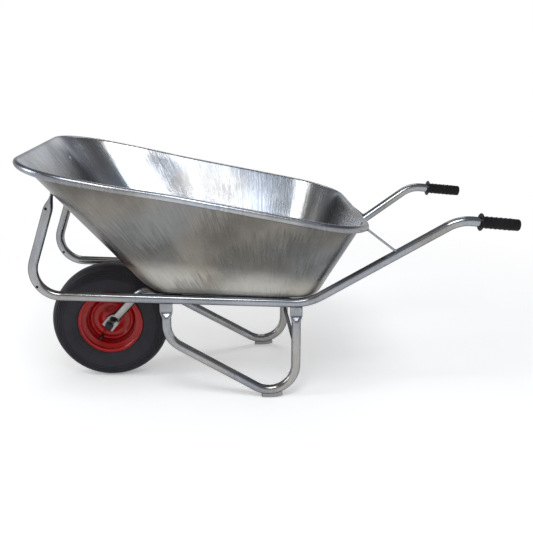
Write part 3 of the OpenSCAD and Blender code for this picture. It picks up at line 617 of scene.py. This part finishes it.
def drawn_place(tree, across):
    """Where a streak lies: free across it, and squeezed along its upright length."""
    upright = add(tree, "ShaderNodeSeparateXYZ", {0: object_points(tree)}).outputs
    side = maths(tree, "MULTIPLY", upright["Y"], 0.2)
    return add(tree, "ShaderNodeCombineXYZ", {
        "X": across or upright["X"], "Y": side if across else upright["Y"],
        "Z": maths(tree, "MULTIPLY", upright["Z"], 0.05),
    }).outputs[0]


def zinc_finish(name, bump, depth, around=None, edge=(0.4, 0.41, 0.44, 1), **values):
    """edge is how much of the light a grazing look still gets back."""
    made, tree, shader = finish(name, Metallic=1.0, Specular_Tint=edge)

    def bloom_over(across):
        sockets = {"Drawn Place": drawn_place(tree, across)}
        bloom = add(tree, "ShaderNodeGroup", sockets, node_tree=zinc)
        for key, value in values.items():
            bloom.inputs[key.replace("_", " ")].default_value = value
        return [bloom.outputs[key] for key in ("Colour", "Roughness", "Height")]

    colour, rough, height = bloom_over(mark(tree, around) if around else None)
    if around:
        level, even = mark(tree, "level"), bloom_over(None)
        colour = blend_colour(tree, level, colour, even[0])
        rough = ramp(tree, level, 0, 1, rough, even[1])
        height = ramp(tree, level, 0, 1, height, even[2])
    tree.links.new(colour, shader.inputs["Base Color"])
    tree.links.new(rough, shader.inputs["Roughness"])
    fine = add(tree, "ShaderNodeTexNoise", {
        "Vector": object_points(tree), "Scale": 260.0, "Detail": 3.0,
    })
    height = maths(tree, "ADD", height, maths(tree, "MULTIPLY", fine.outputs["Fac"], 0.15))
    relief = add(tree, "ShaderNodeBump", {"Height": height, "Strength": bump, "Distance": depth})
    tree.links.new(relief.outputs[0], shader.inputs["Normal"])
    return made, tree, shader, colour, rough


sheet_zinc, tree, shader, plain, rough = zinc_finish(
    "Galvanised Sheet", 0.5, 0.0008, "around", (0.75, 0.77, 0.8, 1),
    Dark=(0.095, 0.093, 0.09, 1), Light=(0.25, 0.245, 0.235, 1),
    Crystal_Size=160.0, Crystals=0.05, Clouds=0.65, Cloud_Size=5.5,
    Streaks=0.22, Streak_Size=130.0, Smoothest=0.2, Roughest=0.3,
)


def painted_light_tint(red, green, blue):
    """The plain zinc of the sheet, multiplied by a tint that paints light or shade onto it."""
    return blend_colour(tree, 1.0, plain, (red, green, blue, 1), "MULTIPLY")


# Painted light and shade on the one zinc sheet: lighter foot, lighter and bluer lining and lip,
# darker nose lip.
foot, painted_lining_light, painted_end_light = painted_light_tint(2.35, 2.27, 2.1), painted_light_tint(2.1, 2.16, 2.32), painted_light_tint(2.5, 2.56, 2.72)
painted_lip_light, painted_nose_shade = painted_light_tint(2.0, 2.1, 2.35), painted_light_tint(0.7, 0.72, 0.76)
# Painted reflection: the foot of the wall is painted lighter and warmer than the zinc higher up.
walls = blend_colour(tree, mark(tree, "climb"), foot, plain)
# Painted light: the end walls of the lining are painted lighter again.
painted_lining_light = blend_colour(tree, mark(tree, "ends"), painted_lining_light, painted_end_light)
# Painted reflection: the lining is painted lighter and bluer than the outside of the same sheet.
walls = blend_colour(tree, mark(tree, "lining"), walls, painted_lining_light)
# Painted shade: the lip at the nose is painted darker.
painted_lip_light = blend_colour(tree, mark(tree, "nose"), painted_lip_light, painted_nose_shade)
# Painted highlight: the rolled lip is painted lighter and bluer than the walls.
whole = blend_colour(tree, mark(tree, "lip"), walls, painted_lip_light)
tree.links.new(whole, shader.inputs["Base Color"])
matt = ramp(tree, mark(tree, "climb"), 0, 1, 0.45, 0)
tree.links.new(maths(tree, "MAXIMUM", rough, matt), shader.inputs["Roughness"])
tube_zinc = zinc_finish(
    "Galvanised Tube", 0.2, 0.00012, edge=(0.12, 0.13, 0.17, 1),
    Dark=(0.18, 0.185, 0.195, 1), Light=(0.44, 0.445, 0.465, 1),
    Crystal_Size=140.0, Crystals=0.08, Clouds=0.35, Streaks=0.1, Streak_Size=170.0,
    Smoothest=0.15, Roughest=0.24,
)[0]
plated_zinc = zinc_finish(
    "Zinc Plated Steel", 0.3, 0.0002, Dark=(0.14, 0.14, 0.14, 1), Light=(0.45, 0.45, 0.44, 1),
    Crystal_Size=300.0, Crystals=0.1, Clouds=0.5, Streaks=0.1, Streak_Size=300.0,
    Smoothest=0.3, Roughest=0.5,
)[0]
black_oxide = zinc_finish(
    "Black Oxide Steel", 0.3, 0.0002, Dark=(0.015, 0.015, 0.017, 1), Light=(0.07, 0.07, 0.075, 1),
    Crystal_Size=300.0, Crystals=0.1, Clouds=0.5, Streaks=0.1, Streak_Size=300.0,
    Smoothest=0.25, Roughest=0.45,
)[0]
ground_steel = zinc_finish(
    "Ground Bearing Steel", 0.1, 0.0001, Dark=(0.5, 0.5, 0.51, 1), Light=(0.75, 0.75, 0.76, 1),
    Crystal_Size=500.0, Crystals=0.05, Clouds=0.2, Streaks=0.1, Streak_Size=400.0,
    Smoothest=0.12, Roughest=0.25,
)[0]

# %% [markdown]
# ## Paint, rubber and plastic
# These do not shine like metal: light enters them a little and comes back coloured.
# Speckle, dust and a fine grain keep them from looking like a flat swatch.

# %% Speckle and dust group
dust, given, wanted = group(
    "Dust and Grain",
    {
        "Clean": (0.02, 0.02, 0.02, 1), "Dust": (0.3, 0.27, 0.23, 1),
        "Amount": 0.3, "Grain Size": 500.0,
    },
    ["Colour", "Mask", "Height"],
)
place = object_points(dust)
patches = add(dust, "ShaderNodeTexNoise", {
    "Vector": place, "Scale": 14.0, "Detail": 7.0, "Roughness": 0.65,
})
mask = maths(dust, "MULTIPLY", ramp(dust, patches.outputs["Fac"], 0.42, 0.75), given["Amount"])
grain = add(dust, "ShaderNodeTexNoise", {
    "Vector": place, "Scale": given["Grain Size"], "Detail": 2.0,
})
dust.links.new(blend_colour(dust, mask, given["Clean"], given["Dust"]), wanted["Colour"])
dust.links.new(mask, wanted["Mask"])
dust.links.new(grain.outputs["Fac"], wanted["Height"])


# %% Paint, rubber and plastic finishes
def dusty_finish(name, bump, depth, rough, rougher, clean, powder, amount, grain, **settings):
    made, tree, shader = finish(name, **settings)
    coat = add(tree, "ShaderNodeGroup", {
        "Clean": clean, "Dust": powder, "Amount": amount, "Grain Size": grain,
    }, node_tree=dust)
    tree.links.new(coat.outputs["Colour"], shader.inputs["Base Color"])
    roughness = ramp(tree, coat.outputs["Mask"], 0, 0.5, rough, rougher)
    tree.links.new(roughness, shader.inputs["Roughness"])
    relief = add(tree, "ShaderNodeBump", {
        "Height": coat.outputs["Height"], "Strength": bump, "Distance": depth,
    })
    tree.links.new(relief.outputs[0], shader.inputs["Normal"])
    return made


red_enamel = dusty_finish(
    "Red Enamel", 0.3, 0.0006, 0.25, 0.4,
    (0.42, 0.007, 0.007, 1), (0.28, 0.012, 0.013, 1), 0.5, 170.0,
    Coat_Weight=0.35, Coat_Roughness=0.04, Specular_IOR_Level=0.2,
)
tyre_rubber = dusty_finish(
    "Tyre Rubber", 0.35, 0.0003, 0.55, 0.75,
    (0.026, 0.0255, 0.031, 1), (0.06, 0.058, 0.066, 1), 0.5, 700.0,
    Specular_IOR_Level=0.2,
)
tube_rubber = dusty_finish(
    "Tube Rubber", 0.2, 0.0002, 0.5, 0.7,
    (0.02, 0.02, 0.02, 1), (0.08, 0.08, 0.08, 1), 0.4, 600.0,
)
grip_plastic = dusty_finish(
    "Grip Plastic", 0.35, 0.0002, 0.5, 0.65,
    (0.008, 0.0075, 0.008, 1), (0.03, 0.03, 0.03, 1), 0.35, 900.0,
    Specular_IOR_Level=0.15,
)

# %% [markdown]
# ## Who wears what
# Each piece names a slot of the frame's record. One table turns slots into finishes, so
# no piece can be forgotten, and the new pieces take theirs the same way.

# %% Dress the pieces
WARDROBE = {
    "pan_zinc": sheet_zinc, "galvanised": tube_zinc, "zinc_plate": plated_zinc,
    "bearing_steel": ground_steel, "red_paint": red_enamel, "tyre_rubber": tyre_rubber,
    "tube_rubber": tube_rubber, "cap_plastic": grip_plastic, "grip_plastic": grip_plastic,
}


def wear(piece, slot):
    piece.data.materials.clear()
    piece.data.materials.append(WARDROBE[slot])


for part in frame["record"]["subparts"]:
    wear(nodes[part["node"]], part["material_slot"])
for name in ("axle_nuts", "axle"):
    nodes[name].data.materials[0] = black_oxide
wear(pan, "pan_zinc")
wear(tyre, "tyre_rubber")
for piece in WELDS:
    wear(piece, "galvanised")

# %% [markdown]
# ## The studio
# A pale floor runs on past the frame. It glows a little for the camera, so that it
# comes out white where no shadow falls, and keeps the barrow's own shadow. The sky is
# white at the horizon and greyer overhead, which gives bare metal something to mirror.

# %% Floor
WHITE = (1, 1, 1, 1)
FLOOR_SIZE, FLOOR_GLOW, NEAR, FAR = 60, 0.3, 0.9, 2.4
start_fresh()
bpy.ops.mesh.primitive_plane_add(size=FLOOR_SIZE)
floor = named("studio_floor")
paper, tree, shader = finish("Studio Paper", Roughness=0.95)
shader.inputs["Base Color"].default_value = (0.86, 0.86, 0.85, 1)
rays = add(tree, "ShaderNodeLightPath").outputs
seen = maths(tree, "MAXIMUM", rays["Is Camera Ray"], rays["Is Glossy Ray"])
seen = maths(tree, "MAXIMUM", seen, rays["Is Transmission Ray"])
glow = maths(tree, "MULTIPLY", seen, FLOOR_GLOW)
tree.links.new(glow, shader.inputs["Emission Strength"])
shader.inputs["Emission Color"].default_value = WHITE
away = add(tree, "ShaderNodeVectorMath", {0: object_points(tree)}, operation="LENGTH")
far = maths(tree, "MULTIPLY", ramp(tree, away.outputs["Value"], NEAR, FAR), seen)
plain = add(tree, "ShaderNodeEmission", {"Color": WHITE}).outputs[0]
both = add(tree, "ShaderNodeMixShader", {0: far, 1: shader.outputs[0], 2: plain}).outputs[0]
tree.links.new(both, tree.nodes["Material Output"].inputs["Surface"])
floor.data.materials.append(paper)
floor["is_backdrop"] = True

# %% Sky
OVERHEAD, SKY_LIGHT = (0.2, 0.22, 0.25, 1), (0.42, 0.43, 0.45, 1)
world = bpy.data.worlds.new("Studio Sky")
bpy.context.scene.world = world
world.use_nodes = True
tree = world.node_tree
tree.nodes.clear()
way_out = add(tree, "ShaderNodeTexCoord").outputs["Generated"]
up = add(tree, "ShaderNodeSeparateXYZ", {0: way_out}).outputs["Z"]
seen_sky = blend_colour(tree, ramp(tree, up, 0.16, 0.5), WHITE, OVERHEAD)
rays = add(tree, "ShaderNodeLightPath").outputs
mirrored = blend_colour(tree, rays["Is Glossy Ray"], SKY_LIGHT, seen_sky)
straight = maths(tree, "MAXIMUM", rays["Is Camera Ray"], rays["Is Transmission Ray"])
light = blend_colour(tree, straight, mirrored, WHITE)
sky = add(tree, "ShaderNodeBackground", {"Color": light, "Strength": 1.0})
add(tree, "ShaderNodeOutputWorld", {"Surface": sky.outputs[0]})


# %% Lamps
def softbox(name, place, aim, width, height, power, colour=(1, 1, 1)):
    bpy.ops.object.light_add(type="AREA", location=place)
    lamp = bpy.context.object
    lamp.name = lamp.data.name = name
    lamp.data.shape = "RECTANGLE"
    lamp.data.size, lamp.data.size_y = width, height
    lamp.data.energy, lamp.data.color = power, colour
    lamp.rotation_euler = (Vector(aim) - Vector(place)).to_track_quat("-Z", "Y").to_euler()
    return lamp


start_fresh()
softbox("overhead_box", (-0.33, -1.7, 3.1), (-0.33, 0, 0.4), 1.15, 1.4, 42, (0.95, 0.98, 1.0))
softbox("sky_box", (0.53, -1.7, 3.1), (0.53, 0, 0.4), 0.45, 1.4, 8, (0.75, 0.86, 1.0))
softbox("left_box", (-3.6, -0.6, 2.2), (0, 0, 0.4), 1.4, 2.0, 40, (1, 1, 1))
softbox("back_box", (0.4, 2.4, 3.6), (0, 0, 0.4), 2.0, 0.8, 22, (1, 0.98, 0.95))

# %% [markdown]
# ## The camera
# A catalogue picture is taken from a few metres off with a slightly long lens, a little
# above the load. A small shift frames the barrow without tilting the view.

# %% Camera
STAND = at(373.5, -2306.2, 1087.5)
LOOK_DOWN, ROLL_LEFT, TURN_RIGHT = 15.59, 0.12, 3.166
SENSOR_WIDTH, LENS_TO_WIDTH = 36, 700 / 533
bpy.ops.object.camera_add(location=STAND)
camera = bpy.context.object
turns = 90 - LOOK_DOWN, -ROLL_LEFT, -TURN_RIGHT
camera.rotation_euler = [math.radians(degrees) for degrees in turns]
camera.data.sensor_width = SENSOR_WIDTH
camera.data.lens = SENSOR_WIDTH * LENS_TO_WIDTH
camera.data.shift_x = 0.0188
camera.data.shift_y = -0.0326
bpy.context.scene.camera = camera
bpy.context.scene.view_settings.view_transform = "Standard"
print("camera at", [round(v, 3) for v in camera.location], "lens", round(camera.data.lens, 2))

# %% [markdown]
# ## The dressed model's box
# The box that the dressed model fills is printed. The dressed model must stay inside
# the frame's box.

# %% Sizes and finish
low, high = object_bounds()
print("visual box:", [round(v, 4) for v in (*low, *high)])
